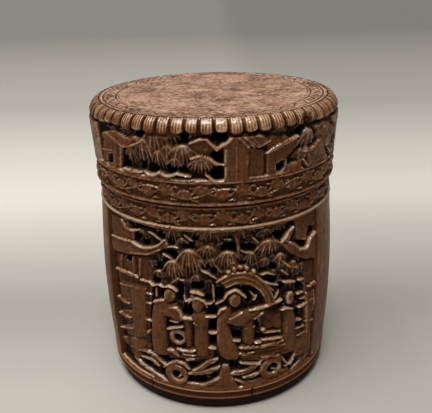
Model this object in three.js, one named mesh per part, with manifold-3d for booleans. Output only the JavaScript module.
// Carved bamboo covered pot, in millimetres, +Z up, front towards -Y.
// The origin is the centre of the underside of the plinth.
// The pot is one carved ring of bamboo culm with a floor, a plinth, a ridged foot of bent strips and a
// dark sleeve behind the openwork. The lid is a second ring of the same culm with a top board let in.

import * as THREE from 'three';
import { mergeVertices } from 'three/addons/utils/BufferGeometryUtils.js';
import Module from 'manifold-3d';

// Clearances between pieces that touch on the real object
const FIT = 0.3;
const PEG_FIT = 0.25;

// Plinth and floor
const PLINTH_HEIGHT = 6.0;
const PLINTH_SETBACK = 2.0;
const PLINTH_EDGE_ROUND = 1.2;
const FLOOR_THICKNESS = 4.2;
const FLOOR_LET_IN = 2.2;

// Culm: the radius at the rim, how far the wall swells between rim and foot, and how thick it is
const RIM_RADIUS = 56.0;
const BODY_SWELL = 1.8;
const WALL_THICKNESS = 10.0;
const BODY_WALL_HEIGHT = 96.8;

// Foot band of bent strips
const FOOT_BAND_HEIGHT = 5.0;
const FOOT_STRIP_THICKNESS = 3.4;
const FOOT_STRIPS = 7;
const FIRST_FOOT_JOINT_DEG = 234.0;
const FOOT_BEAD = 0.5;

// Frieze under the rim of the body, with one raised line below it
const BODY_FRIEZE_HEIGHT = 7.8;
const BODY_PLAIN_BAND = 1.6;
const FRIEZE_SINK = 0.9;
const RIDGE_HEIGHT = 1.2;
const RIDGE_RISE = 0.7;

// Carved panels between plain upright posts: how far below the skin the faces of the near and the far
// motifs lie, the ground between them, and the bottom of the gaps
const NEAR_SINK = 0.8;
const FAR_SINK = 2.0;
const GROUND_SINK = 3.2;
const GAP_SINK = 8.0;
const FRONT_PANEL_MIDDLE_DEG = 265.5;
const FRONT_PANEL_SPAN_DEG = 117.0;
const POST_SPAN_DEG = 30.0;

// Dark sleeve inside the wall; its collar stands above the rim and holds the lid in place
const SLEEVE_THICKNESS = 2.0;
const COLLAR_HEIGHT = 7.0;

// Lid
const LID_WALL_HEIGHT = 36.3;
const LID_FLARE = 2.4;
const LID_FRIEZE_HEIGHT = 8.2;
const LID_LOWER_BAND = 1.5;
const LID_SHOULDER_HEIGHT = 7.4;
const LID_SHOULDER_REACH = 4.8;
const LID_RING_THICKNESS = 4.5;
const BOARD_THICKNESS = 3.0;
const BOARD_LIP = 0.7;

// Pegs
const PEGS = 4;
const BOARD_PEG_RADIUS = 0.8;
const BOARD_PEG_LENGTH = 9.0;
const FIRST_BOARD_PEG_DEG = 56.0;
const PLINTH_PEG_RADIUS = 1.4;
const PLINTH_PEG_LENGTH = 8.4;
const PLINTH_PEG_INSET = 15.0;
const FIRST_PLINTH_PEG_DEG = 45.0;

// The photograph's view, which gives the motifs on the front their places: the camera's distance and
// height in rim radii, its angles, its focal length in pixels and the middle of the picture
const VIEW_DISTANCE_SHARE = 5.041;
const VIEW_HEIGHT_SHARE = 3.477;
const VIEW_PITCH_DEG = 21.93;
const VIEW_ROLL_DEG = 1.44;
const FOCAL_PIXELS = 600;
const PICTURE_MIDDLE = [216, 206.5];

// Facets
const TURN_STEPS = 72;
const PEG_STEPS = 12;
const SWELL_STEPS = 8;
const PANEL_TURN_STEPS = 30;
const PANEL_SWELL_STEPS = 2;

// Levels, from the surface the pot stands on
const footBottom = PLINTH_HEIGHT + FIT;
const footTop = footBottom + FOOT_BAND_HEIGHT;
const wallBottom = footBottom;
const rimTop = wallBottom + BODY_WALL_HEIGHT;
const floorTop = footBottom + FLOOR_THICKNESS;
const friezeTop = rimTop - BODY_PLAIN_BAND;
const friezeBottom = friezeTop - BODY_FRIEZE_HEIGHT;
const ridgeBottom = friezeBottom - RIDGE_HEIGHT;
const collarTop = rimTop + COLLAR_HEIGHT;
const lidBottom = rimTop + FIT;
const lidTop = lidBottom + LID_WALL_HEIGHT;
const lidFriezeBottom = lidBottom + LID_LOWER_BAND;
const lidFriezeTop = lidFriezeBottom + LID_FRIEZE_HEIGHT;
const lidRidgeTop = lidFriezeTop + RIDGE_HEIGHT;
const shoulderStart = lidTop - LID_SHOULDER_HEIGHT;
const boardSeat = lidTop - BOARD_THICKNESS;

// Radii
const wallInside = RIM_RADIUS - WALL_THICKNESS;
const footOutside = RIM_RADIUS;
const footInside = footOutside - FOOT_STRIP_THICKNESS;
const wallFootRadius = footInside - FIT;
const plinthRadius = footOutside - PLINTH_SETBACK;
const plinthPegCircle = plinthRadius - PLINTH_PEG_INSET;
const sleeveOutside = wallInside - FIT;
const sleeveInside = sleeveOutside - SLEEVE_THICKNESS;
const lidRingInside = sleeveOutside - LID_RING_THICKNESS;
const lidLowRadius = RIM_RADIUS + LID_FLARE / 2;
const lidHighRadius = RIM_RADIUS + LID_FLARE;
const lidEdgeRadius = lidHighRadius - LID_SHOULDER_REACH;
const boardRadius = lidEdgeRadius - BOARD_LIP;
const boardPegCircle = sleeveOutside - LID_RING_THICKNESS / 2;

// Motifs on the front of the body, as outlines in pixels of the photograph's view
const BODY_NEAR_OUTLINES = [
  // Roof, wall and ledges of the left pavilion
  [[109, 234], [131, 241], [141, 247], [150, 249], [158, 246], [164, 240], [167, 246], [158, 253],
    [148, 257], [130, 256], [111, 250]],
  [[119, 280], [145, 287], [145, 338], [125, 336], [119, 300]],
  // Thatch, window, sweeping eave and wall of the right pavilion
  [[296, 217], [314, 207], [320, 226], [311, 227], [309, 241], [299, 241]],
  [[283, 242], [293, 244], [300, 250], [309, 249], [312, 240], [318, 230], [325, 226], [325, 256],
    [308, 260], [292, 254]],
  [[307, 294], [322, 284], [321, 330], [307, 334]],
  // Bridge
  [[222, 282], [233, 278], [250, 277], [259, 280], [267, 286], [273, 296], [275, 305], [268, 309],
    [266, 300], [261, 293], [250, 288], [236, 288], [228, 290]],
  // Robes and sleeves
  [[152, 304], [163, 301], [167, 306], [180, 314], [181, 322], [166, 322], [166, 358], [150, 349]],
  [[190, 304], [197, 300], [204, 302], [208, 312], [209, 359], [195, 360], [192, 322]],
  [[215, 332], [220, 312], [232, 310], [263, 310], [246, 328], [230, 329], [241, 361], [220, 362]],
  [[286, 311], [290, 308], [296, 309], [299, 318], [296, 354], [286, 352]],
  // Stones on both sides
  [[120, 336], [140, 338], [150, 348], [146, 354], [132, 352]],
  [[296, 334], [310, 330], [318, 340], [308, 356], [296, 356]],
  // Mound in the border
  [[222, 367], [229, 366], [232, 376], [241, 390], [211, 390], [219, 378]],
];
const BODY_FAR_OUTLINES = [
  [[112, 252], [150, 258], [150, 290], [147, 345], [128, 342], [118, 300]],
  [[107, 212], [122, 219], [131, 230], [133, 245], [111, 240]],
  [[306, 262], [324, 256], [322, 300], [319, 336], [306, 336]],
  [[182, 321], [191, 319], [193, 350], [185, 351]],
  [[243, 326], [255, 320], [257, 346], [242, 346]],
  [[164, 350], [214, 350], [214, 362], [168, 360]],
  [[240, 347], [258, 346], [284, 337], [312, 332], [300, 352], [282, 357], [262, 362], [242, 363]],
  [[266, 312], [283, 312], [284, 330], [262, 332], [258, 320]],
  [[160, 380], [190, 384], [214, 386], [214, 392], [176, 388]],
  [[236, 384], [262, 380], [290, 368], [292, 374], [250, 390]],
];

// Rails, eaves, branches and leaves there: half the width in millimetres, then pixels along each
const BODY_RAILS = [
  [1.0, [115, 268], [137, 278], [153, 287]],
  [1.0, [283, 243], [295, 227]],
  [1.0, [266, 284], [297, 282]],
  [0.9, [224, 300], [236, 291], [247, 299]],
  [1.2, [190, 373], [214, 363]],
  [1.2, [233, 374], [256, 367]],
  [1.2, [286, 366], [300, 354]],
  [1.0, [137, 351], [163, 365]],
];

// Plain heads: middle in pixels
const BODY_HEADS = [[168, 297], [196.5, 309], [235.5, 302.5], [292, 299]];
const HEAD_HALF_WIDTH = 2.2;
const HEAD_HALF_HEIGHT = 3.1;

// Sprays of hanging leaves: crown in pixels, then half the width and the drop in millimetres
const BODY_NEAR_SPRAYS = [
  [188, 251, 5.4, 14.5], [172, 262, 4.4, 10.5], [157, 272, 2.8, 5.5], [228, 253, 4.6, 9.5],
  [253, 254, 3.0, 7.5], [271, 241, 5.4, 8.0], [283, 255, 3.0, 6.0], [296, 262, 3.0, 8.0],
];
const BODY_FAR_SPRAYS = [
  [171, 229, 4.4, 8.0], [210, 230, 5.2, 6.8], [208, 248, 4.4, 6.6], [268, 230, 3.4, 4.6],
  [243, 233, 2.8, 4.5], [267, 260, 2.6, 4.5], [212, 262, 2.6, 4.5], [304, 264, 2.2, 7.0],
];

// Rolled scrolls: middle in pixels, then the middle radius and half the bar in millimetres
const BODY_SCROLLS = [[177, 339, 3.2, 1.3], [176, 376, 4.4, 1.8], [273, 369, 4.4, 1.8]];

// Gaps between the motifs, as boxes in pixels: left, top, right, bottom
const BODY_GAPS = [
  [131, 222, 140, 229], [154, 233, 163, 240], [181, 243, 193, 251], [163, 252, 174, 261], [150, 264, 160, 271],
  [201, 263, 210, 273], [242, 245, 258, 253], [277, 233, 289, 241], [266, 274, 279, 282], [145, 290, 152, 309],
  [174, 286, 181, 304], [190, 285, 203, 293], [213, 291, 223, 304], [243, 289, 262, 297], [279, 285, 289, 293],
  [181, 310, 191, 318], [207, 318, 216, 332], [232, 334, 242, 342], [258, 318, 267, 331], [160, 359, 171, 365],
  [206, 374, 218, 381], [233, 377, 247, 382], [255, 371, 262, 380], [286, 359, 294, 365],
];

// Motifs and gaps on the front of the lid, in the same ways
const LID_NEAR_OUTLINES = [
  [[100, 132], [112, 131], [132, 141], [128, 147], [118, 146], [101, 138]],
  [[224, 147], [236, 135], [262, 134], [272, 141], [260, 149], [250, 150], [250, 184], [224, 184]],
  [[268, 154], [300, 136], [303, 143], [290, 158], [304, 160], [304, 174], [289, 178], [268, 181]],
  [[120, 168], [144, 172], [164, 176], [164, 182], [140, 180], [122, 175]],
  [[303, 164], [318, 158], [330, 160], [328, 178], [308, 180]],
];
const LID_FAR_OUTLINES = [
  [[100, 136], [119, 142], [119, 170], [101, 163]],
  [[250, 148], [267, 151], [267, 182], [250, 184]],
  [[188, 146], [200, 140], [213, 148], [200, 156]],
];
const LID_NEAR_SPRAYS = [
  [130, 141, 4.6, 9.0], [150, 130, 4.6, 13.5], [166, 129, 3.6, 8.5], [180, 146, 5.2, 8.5], [200, 158, 4.6, 7.5],
];
const LID_FAR_SPRAYS = [[314, 132, 3.6, 9.0], [322, 150, 3.4, 9.0], [163, 148, 3.4, 8.0], [196, 130, 3.2, 4.5]];
const LID_RAILS = [
  [0.8, [205, 176], [214, 182], [224, 184]],
  [0.8, [212, 146], [217, 151], [225, 144]],
  [0.8, [143, 172], [158, 175], [176, 176], [190, 178]],
];
const LID_GAPS = [
  [176, 130, 186, 146], [131, 131, 139, 140], [101, 120, 107, 126], [118, 158, 126, 170], [137, 160, 142, 170],
  [145, 166, 155, 174], [165, 165, 175, 175], [178, 168, 186, 177], [212, 133, 228, 143], [211, 154, 223, 165],
  [211, 169, 224, 181], [300, 128, 313, 150], [306, 170, 311, 186],
];
const LID_WINDOWS = [[105, 155, 110, 163], [279, 163, 286, 171]];

// Bays of the back, in millimetres from the middle of a bay and above the surface the pot stands on. A
// box is left, bottom, right, top; a spray is its crown, half its width and its drop
const BAYS = 6;
const HALL_NEAR = [[[-14, 62], [-9, 57], [9, 57], [14, 62], [8, 67], [-8, 67]],
  [[7, 29], [14, 29], [13.5, 47], [12.5, 52], [8.5, 52], [4.5, 44]]];
const HALL_FAR = [[[-8, 31], [8, 31], [8, 57], [-8, 57]], [[-14, 27], [14, 27], [10, 31], [-10, 31]]];
const HALL_NEAR_SPRAYS = [[5, 90, 5.0, 9], [-6, 79, 5.0, 8]];
const HALL_FAR_SPRAYS = [[-8, 91, 4.6, 8]];
const HALL_GAPS = [[-12, 30, -9.5, 46], [2, 72, 8, 77], [-13, 82, -9, 86]];
const HALL_WINDOWS = [[-4, 45, 2, 52]];
const GARDEN_NEAR = [[[-11, 29], [-3.7, 29], [-1.5, 44], [-4.7, 54], [-10.3, 54]],
  [[3.5, 29], [10.8, 29], [9.8, 53], [4.2, 53], [1, 44]]];
const GARDEN_FAR = [[[-14, 27], [14, 27], [12, 31], [-12, 31]], [[11, 27], [14, 27], [14, 60], [11, 76]]];
const GARDEN_NEAR_SPRAYS = [[-4, 81, 5.0, 9], [8, 79, 4.8, 9], [-9, 70, 4.2, 8]];
const GARDEN_FAR_SPRAYS = [[3, 91, 5.0, 8]];
const GARDEN_GAPS = [[-1.5, 45, 2, 51], [-3, 58, 2, 64], [-13, 80, -10, 85]];
const BAY_SCROLL = [-1, 17, 3.8, 1.7];
const BAY_GAPS = [[7, 13, 11, 17]];
const BAY_LEAVES = [[1.2, [-14, 21], [-8, 15]]];
const LID_BAY_NEAR = [[[-14, 115], [14, 115], [14, 118], [8, 117], [2, 119], [-4, 117], [-10, 118]]];
const LID_BAY_HUT = [[-7, 124], [-4, 124], [-4, 115], [6, 115], [6, 124], [9, 124], [5, 129], [-3, 129]];
const LID_BAY_SPRAYS = [[-7, 131, 4.6, 10], [5, 130, 4.4, 9]];
const LID_BAY_GAPS = [[-12, 118, -9, 122], [8, 118, 12, 121]];

const wasm = await Module();
wasm.setup();

const turnToZ = (geometry) => geometry.rotateX(Math.PI / 2);
const radians = THREE.MathUtils.degToRad;

function lathe(profile, steps = TURN_STEPS) {
  const points = profile.map(([r, z]) => new THREE.Vector2(r, z));
  return turnToZ(new THREE.LatheGeometry(points, steps));
}

function closed(profile) {
  return [...profile, profile[0]];
}

// A closed mesh as a solid that can be joined and cut
function solid(geometry) {
  const bare = geometry.clone();
  bare.deleteAttribute('normal');
  bare.deleteAttribute('uv');
  const merged = mergeVertices(bare, 1e-5);
  const index = merged.index.array;
  const kept = [];
  for (let i = 0; i < index.length; i += 3) {
    const [a, b, c] = [index[i], index[i + 1], index[i + 2]];
    if (a !== b && b !== c && c !== a) kept.push(a, b, c);
  }
  const mesh = new wasm.Mesh({
    numProp: 3,
    vertProperties: new Float32Array(merged.attributes.position.array),
    triVerts: new Uint32Array(kept),
  });
  return new wasm.Manifold(mesh);
}

function geometryOf(body) {
  const mesh = body.getMesh();
  const geometry = new THREE.BufferGeometry();
  geometry.setAttribute('position', new THREE.BufferAttribute(mesh.vertProperties, 3));
  geometry.setIndex(new THREE.BufferAttribute(mesh.triVerts, 1));
  geometry.computeVertexNormals();
  return geometry;
}

// An upright round bar
function bar(radius, bottom, top, steps = PEG_STEPS) {
  const geometry = turnToZ(new THREE.CylinderGeometry(radius, radius, top - bottom, steps));
  return geometry.translate(0, 0, (top + bottom) / 2);
}

function onCircle(geometry, radius, degrees) {
  const angle = radians(degrees);
  return geometry.clone().translate(radius * Math.cos(angle), radius * Math.sin(angle), 0);
}

// Part of a turned ring between two angles, from a closed outline of radius and height
function ringSector(outline, fromDeg, spanDeg, steps) {
  const shape = new THREE.Shape(outline.map(([r, z]) => new THREE.Vector2(r, z)));
  const flat = new THREE.ExtrudeGeometry(shape, { depth: 1, steps, bevelEnabled: false });
  const position = flat.attributes.position;
  for (let i = 0; i < position.count; i += 1) {
    const radius = position.getX(i);
    const height = position.getY(i);
    const angle = radians(fromDeg + spanDeg * (1 - position.getZ(i)));
    position.setXYZ(i, radius * Math.cos(angle), radius * Math.sin(angle), height);
  }
  return flat;
}

function bodyRadius(z) {
  const share = (z - footTop) / (ridgeBottom - footTop);
  return RIM_RADIUS + BODY_SWELL * Math.sin(Math.PI * THREE.MathUtils.clamp(share, 0, 1));
}

function makePlinth() {
  const round = PLINTH_EDGE_ROUND;
  const disc = solid(lathe([
    [0, 0],
    [plinthRadius - round, 0],
    [plinthRadius - round * 0.3, round * 0.3],
    [plinthRadius, round],
    [plinthRadius, PLINTH_HEIGHT],
    [0, PLINTH_HEIGHT],
  ]));
  return withHoles(disc, PLINTH_PEG_RADIUS, plinthPegCircle, FIRST_PLINTH_PEG_DEG, -1, PLINTH_HEIGHT + 1);
}

function withHoles(body, pegRadius, circle, firstDeg, bottom, top) {
  const hole = bar(pegRadius + PEG_FIT, bottom, top);
  for (let i = 0; i < PEGS; i += 1) {
    body = body.subtract(solid(onCircle(hole, circle, firstDeg + (i * 360) / PEGS)));
  }
  return geometryOf(body);
}

function makeFloor() {
  const radius = wallInside + FLOOR_LET_IN - FIT;
  const board = solid(lathe([
    [0, footBottom],
    [radius, footBottom],
    [radius, floorTop],
    [0, floorTop],
  ]));
  const top = FIT + PLINTH_PEG_LENGTH + PEG_FIT;
  return withHoles(board, PLINTH_PEG_RADIUS, plinthPegCircle, FIRST_PLINTH_PEG_DEG, footBottom - 1, top);
}

function makeFootStrip(index) {
  const pitch = 360 / FOOT_STRIPS;
  const gap = THREE.MathUtils.radToDeg(FIT / footOutside);
  const middle = (footBottom + footTop) / 2;
  const outline = [
    [footInside, footBottom],
    [footOutside - FOOT_BEAD, footBottom],
    [footOutside, footBottom + FOOT_BEAD],
    [footOutside - FOOT_BEAD, footBottom + 2 * FOOT_BEAD],
    [footOutside - FOOT_BEAD, middle + FOOT_BEAD],
    [footOutside + FOOT_BEAD, footTop - 2 * FOOT_BEAD],
    [footOutside, footTop],
    [footInside, footTop],
  ];
  const from = FIRST_FOOT_JOINT_DEG + index * pitch + gap / 2;
  return ringSector(outline, from, pitch - gap, Math.round(TURN_STEPS / FOOT_STRIPS));
}

// The part of a panel between two depths below the skin, and past the panel's edges by a margin
function panelBand({ from, span, bottom, top, skin }, innerSink, outerSink, margin) {
  const inner = [];
  const outer = [];
  for (let i = 0; i <= PANEL_SWELL_STEPS; i += 1) {
    const z = THREE.MathUtils.lerp(bottom - margin, top + margin, i / PANEL_SWELL_STEPS);
    inner.push([skin(z) - innerSink, z]);
    outer.push([skin(z) - outerSink, z]);
  }
  const past = THREE.MathUtils.radToDeg(margin / RIM_RADIUS);
  const steps = Math.round((PANEL_TURN_STEPS * span) / 360);
  return solid(ringSector([...outer, ...inner.reverse()], from - past, span + 2 * past, steps));
}

// Where a pixel of the photograph's view meets the skin: millimetres round it from the middle of the
// front panel, and level
function onSkin([px, py], skin) {
  const across = (px - PICTURE_MIDDLE[0]) / FOCAL_PIXELS;
  const up = (PICTURE_MIDDLE[1] - py) / FOCAL_PIXELS;
  const [roll, pitch] = [radians(VIEW_ROLL_DEG), radians(VIEW_PITCH_DEG)];
  const x = across * Math.cos(roll) + up * Math.sin(roll);
  const rise = up * Math.cos(roll) - across * Math.sin(roll);
  const y = Math.cos(pitch) + rise * Math.sin(pitch);
  const z = rise * Math.cos(pitch) - Math.sin(pitch);
  const back = VIEW_DISTANCE_SHARE * RIM_RADIUS;
  let level = rimTop;
  let way = 0;
  for (let i = 0; i < 6; i += 1) {
    const radius = skin(level);
    const square = x * x + y * y;
    const reach = (back * y) ** 2 - square * (back ** 2 - radius ** 2);
    way = (back * y - Math.sqrt(Math.max(reach, 0))) / square;
    level = VIEW_HEIGHT_SHARE * RIM_RADIUS + way * z;
  }
  const degrees = THREE.MathUtils.radToDeg(Math.atan2(way * y - back, way * x));
  const turn = THREE.MathUtils.euclideanModulo(degrees - FRONT_PANEL_MIDDLE_DEG + 180, 360) - 180;
  return [radians(turn) * RIM_RADIUS, level];
}

// A block right through the wall from an outline of millimetres round the skin and level
function wallBlock(outline, middleDeg) {
  const shape = new THREE.Shape(outline.map(([u, z]) => new THREE.Vector2(u, z)));
  const flat = new THREE.ExtrudeGeometry(shape, { depth: 1, steps: 1, bevelEnabled: false });
  const position = flat.attributes.position;
  for (let i = 0; i < position.count; i += 1) {
    const angle = radians(middleDeg) + position.getX(i) / RIM_RADIUS;
    const radius = THREE.MathUtils.lerp(wallInside, RIM_RADIUS + WALL_THICKNESS, position.getZ(i));
    position.setXYZ(i, radius * Math.cos(angle), radius * Math.sin(angle), position.getY(i));
  }
  return solid(flat);
}

function box([left, low, right, high]) {
  return [[left, low], [right, low], [right, high], [left, high]];
}

function oval([x, z], halfWidth, halfHeight) {
  return Array.from({ length: 6 }, (_, i) => {
    const turn = radians(60 * i);
    return [x + halfWidth * Math.cos(turn), z + halfHeight * Math.sin(turn)];
  });
}

// The outline of a spray of leaves that hangs from its crown
function spray([x, z], halfWidth, drop) {
  return [[-1, -0.75], [0, -1], [1, -0.75], [0.85, -0.1], [0, 0.08], [-0.85, -0.1]]
    .map(([across, down]) => [x + across * halfWidth, z + down * drop]);
}

// A strip of one width along a line of points
function strip(points, half) {
  const side = (sign) => points.map(([x, z], i) => {
    const [a, b] = [points[Math.max(i - 1, 0)], points[Math.min(i + 1, points.length - 1)]];
    const length = Math.hypot(b[0] - a[0], b[1] - a[1]);
    return [x - (sign * half * (b[1] - a[1])) / length, z + (sign * half * (b[0] - a[0])) / length];
  });
  return [...side(1), ...side(-1).reverse()];
}

// Sinks a panel, opens the gaps in it, and leaves the motifs standing at their two depths
function carvePanel(wall, panel, { near, far, gaps, windows }) {
  const blocks = (outlines) => wasm.Manifold.union(
    outlines.map((outline) => wallBlock(outline, panel.from + panel.span / 2)));
  const cut = (sink) => panelBand(panel, sink, -WALL_THICKNESS, 0);
  const motifs = (outlines, sink) => panelBand(panel, GAP_SINK + FIT, sink, FIT).intersect(blocks(outlines));
  return wall
    .subtract(cut(GROUND_SINK))
    .subtract(cut(GAP_SINK).intersect(blocks(gaps)))
    .add(motifs(far, FAR_SINK))
    .add(motifs(near, NEAR_SINK))
    .subtract(cut(GAP_SINK).intersect(blocks(windows)));
}

function carvePanels(wall, bottom, top, skin, front, bayOf) {
  const backSpan = 360 - FRONT_PANEL_SPAN_DEG - 2 * POST_SPAN_DEG;
  const backFrom = FRONT_PANEL_MIDDLE_DEG + FRONT_PANEL_SPAN_DEG / 2 + POST_SPAN_DEG;
  const pitch = (radians(backSpan) * RIM_RADIUS) / BAYS;
  const back = { near: [], far: [], gaps: [], windows: [] };
  for (let bay = 0; bay < BAYS; bay += 1) {
    const middle = (bay + 0.5 - BAYS / 2) * pitch;
    const facing = bay < BAYS / 2 ? 1 : -1;
    const motifs = bayOf(bay);
    for (const kind of Object.keys(back)) {
      back[kind].push(...motifs[kind].map((outline) => outline.map(([u, z]) => [middle + facing * u, z])));
    }
  }
  const frontFrom = FRONT_PANEL_MIDDLE_DEG - FRONT_PANEL_SPAN_DEG / 2;
  const sized = { bottom, top, skin };
  const carved = carvePanel(wall, { from: frontFrom, span: FRONT_PANEL_SPAN_DEG, ...sized }, front);
  return carvePanel(carved, { from: backFrom, span: backSpan, ...sized }, back);
}

const sprays = (list) => list.map(([x, z, halfWidth, drop]) => spray([x, z], halfWidth, drop));
const strips = (list) => list.map(([half, ...points]) => strip(points, half));

// One bay of the back of the body: a hall or a garden, over a border with a scroll
function bodyBay(bay) {
  const hall = bay % 2 === 0;
  const [x, z, radius, half] = BAY_SCROLL;
  const scroll = oval([x, z], radius + half, radius + half);
  const near = hall ? [...HALL_NEAR, ...sprays(HALL_NEAR_SPRAYS)] : [...GARDEN_NEAR, ...sprays(GARDEN_NEAR_SPRAYS)];
  return {
    near: [...near, scroll, ...strips(BAY_LEAVES)],
    far: hall ? [...HALL_FAR, ...sprays(HALL_FAR_SPRAYS)] : [...GARDEN_FAR, ...sprays(GARDEN_FAR_SPRAYS)],
    gaps: [...(hall ? HALL_GAPS : GARDEN_GAPS), ...BAY_GAPS].map(box),
    windows: [oval([x, z], radius - half, radius - half), ...(hall ? HALL_WINDOWS.map(box) : [])],
  };
}

function lidBay(bay) {
  const huts = bay % 2 === 0 ? [] : [LID_BAY_HUT];
  return {
    near: [...LID_BAY_NEAR, ...huts, ...sprays(LID_BAY_SPRAYS)],
    far: [],
    gaps: LID_BAY_GAPS.map(box),
    windows: [],
  };
}

// Turns what is placed by pixels on the front into outlines on the skin
function onFront(skin) {
  const place = (pixel) => onSkin(pixel, skin);
  return {
    outlines: (list) => list.map((outline) => outline.map(place)),
    boxes: (list) => list.map((pixels) => box(pixels).map(place)),
    sprays: (list) => list.map(([px, py, halfWidth, drop]) => spray(place([px, py]), halfWidth, drop)),
    strips: (list) => list.map(([half, ...points]) => strip(points.map(place), half)),
    ovals: (list, width, height) => list.map((pixel) => oval(place(pixel), width(pixel), height(pixel))),
  };
}

function bodyFront() {
  const front = onFront(bodyRadius);
  const outer = ([, , radius, half]) => radius + half;
  const inner = ([, , radius, half]) => radius - half;
  return {
    near: [
      ...front.outlines(BODY_NEAR_OUTLINES),
      ...front.strips(BODY_RAILS),
      ...front.ovals(BODY_HEADS, () => HEAD_HALF_WIDTH, () => HEAD_HALF_HEIGHT),
      ...front.sprays(BODY_NEAR_SPRAYS),
      ...front.ovals(BODY_SCROLLS, outer, outer),
    ],
    far: [...front.outlines(BODY_FAR_OUTLINES), ...front.sprays(BODY_FAR_SPRAYS)],
    gaps: front.boxes(BODY_GAPS),
    windows: front.ovals(BODY_SCROLLS, inner, inner),
  };
}

function lidFront() {
  const front = onFront(lidRadius);
  return {
    near: [
      ...front.outlines(LID_NEAR_OUTLINES), ...front.sprays(LID_NEAR_SPRAYS), ...front.strips(LID_RAILS),
    ],
    far: [...front.outlines(LID_FAR_OUTLINES), ...front.sprays(LID_FAR_SPRAYS)],
    gaps: front.boxes(LID_GAPS),
    windows: front.boxes(LID_WINDOWS),
  };
}

function makeBodyWall() {
  const profile = [
    [wallInside + FLOOR_LET_IN, wallBottom],
    [wallFootRadius, wallBottom],
    [wallFootRadius, footTop + FIT],
  ];
  for (let i = 0; i <= SWELL_STEPS; i += 1) {
    const z = THREE.MathUtils.lerp(footTop + FIT, ridgeBottom, i / SWELL_STEPS);
    profile.push([bodyRadius(z), z]);
  }
  profile.push(
    [RIM_RADIUS + RIDGE_RISE, (ridgeBottom + friezeBottom) / 2],
    [RIM_RADIUS, friezeBottom],
    [RIM_RADIUS - FRIEZE_SINK, friezeBottom + FRIEZE_SINK],
    [RIM_RADIUS - FRIEZE_SINK, friezeTop - FRIEZE_SINK],
    [RIM_RADIUS, friezeTop],
    [RIM_RADIUS, rimTop],
    [wallInside, rimTop],
    [wallInside, floorTop + FIT],
    [wallInside + FLOOR_LET_IN, floorTop + FIT],
  );
  const wall = solid(lathe(closed(profile)));
  return geometryOf(
    carvePanels(wall, footTop + FIT + FOOT_BEAD, ridgeBottom, bodyRadius, bodyFront(), bodyBay));
}

function makeSleeve() {
  return lathe(closed([
    [sleeveInside, floorTop + FIT],
    [sleeveOutside, floorTop + FIT],
    [sleeveOutside, collarTop],
    [sleeveInside, collarTop],
  ]));
}

function lidRadius(z) {
  const share = (z - lidRidgeTop) / (shoulderStart - lidRidgeTop);
  return THREE.MathUtils.lerp(lidLowRadius, lidHighRadius, THREE.MathUtils.clamp(share, 0, 1));
}

// The rounded shoulder, from the upright wall in to the edge of the board
function shoulder(share) {
  const turn = (share * Math.PI) / 2;
  const radius = lidEdgeRadius + LID_SHOULDER_REACH * Math.cos(turn);
  return [radius, shoulderStart + LID_SHOULDER_HEIGHT * Math.sin(turn)];
}

function makeLidWall() {
  const profile = [
    [wallInside, lidBottom],
    [lidLowRadius - RIDGE_RISE, lidBottom],
    [lidLowRadius, (lidBottom + lidFriezeBottom) / 2],
    [lidLowRadius - RIDGE_RISE, lidFriezeBottom],
    [lidLowRadius - RIDGE_RISE, lidFriezeTop],
    [lidLowRadius + RIDGE_RISE, (lidFriezeTop + lidRidgeTop) / 2],
    [lidLowRadius, lidRidgeTop],
  ];
  for (let i = 0; i <= SWELL_STEPS / 2; i += 1) {
    profile.push(shoulder((2 * i) / SWELL_STEPS));
  }
  profile.push(
    [boardRadius + FIT, lidTop],
    [boardRadius + FIT, boardSeat - FIT],
    [wallInside, boardSeat - FIT],
  );
  const wall = solid(lathe(closed(profile)));
  return geometryOf(carvePanels(wall, lidRidgeTop, shoulderStart, lidRadius, lidFront(), lidBay));
}

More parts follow.
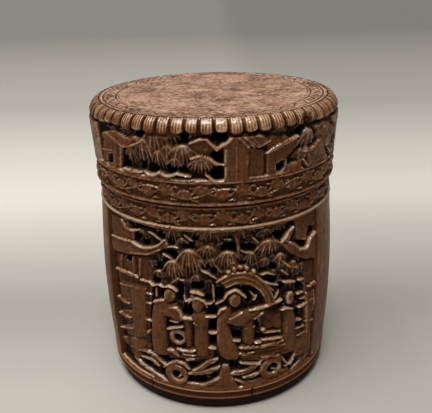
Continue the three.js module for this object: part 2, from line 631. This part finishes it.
function makeBoard() {
  const board = solid(lathe([
    [0, boardSeat],
    [boardRadius, boardSeat],
    [boardRadius, lidTop],
    [0, lidTop],
  ]));
  return withHoles(
    board, BOARD_PEG_RADIUS, boardPegCircle, FIRST_BOARD_PEG_DEG, boardSeat - 1, lidTop + 1);
}

function makeLidRing() {
  const ring = solid(lathe(closed([
    [lidRingInside, collarTop + FIT],
    [sleeveOutside, collarTop + FIT],
    [sleeveOutside, boardSeat - FIT],
    [lidRingInside, boardSeat - FIT],
  ])));
  const bottom = lidTop - BOARD_PEG_LENGTH - PEG_FIT;
  return withHoles(ring, BOARD_PEG_RADIUS, boardPegCircle, FIRST_BOARD_PEG_DEG, bottom, lidTop);
}

function material(colour, roughness) {
  return new THREE.MeshStandardMaterial({ color: colour, roughness, metalness: 0 });
}

const object = new THREE.Group();

function add(name, geometry, colour, roughness) {
  const mesh = new THREE.Mesh(geometry, material(colour, roughness));
  mesh.name = name;
  object.add(mesh);
}

add('base_plinth', makePlinth(), 0x2a1a10, 0.6);
add('floor_disc', makeFloor(), 0x5a3a24, 0.7);
add('body_wall', makeBodyWall(), 0x7a4a2c, 0.45);
add('body_sleeve', makeSleeve(), 0x24160e, 0.7);
for (let i = 0; i < FOOT_STRIPS; i += 1) {
  add(`foot_strip_${i + 1}`, makeFootStrip(i), 0x6d442a, 0.5);
}
for (let i = 0; i < PEGS; i += 1) {
  const peg = bar(PLINTH_PEG_RADIUS, FIT, FIT + PLINTH_PEG_LENGTH);
  const degrees = FIRST_PLINTH_PEG_DEG + (i * 360) / PEGS;
  add(`plinth_peg_${i + 1}`, onCircle(peg, plinthPegCircle, degrees), 0xa9825a, 0.6);
}
add('lid_wall', makeLidWall(), 0x7d4e30, 0.45);
add('lid_board', makeBoard(), 0x9c7a64, 0.55);
add('lid_ring', makeLidRing(), 0x24160e, 0.7);
for (let i = 0; i < PEGS; i += 1) {
  const peg = bar(BOARD_PEG_RADIUS, lidTop - BOARD_PEG_LENGTH, lidTop);
  const degrees = FIRST_BOARD_PEG_DEG + (i * 360) / PEGS;
  add(`board_peg_${i + 1}`, onCircle(peg, boardPegCircle, degrees), 0xd8c3a0, 0.5);
}

export default object;
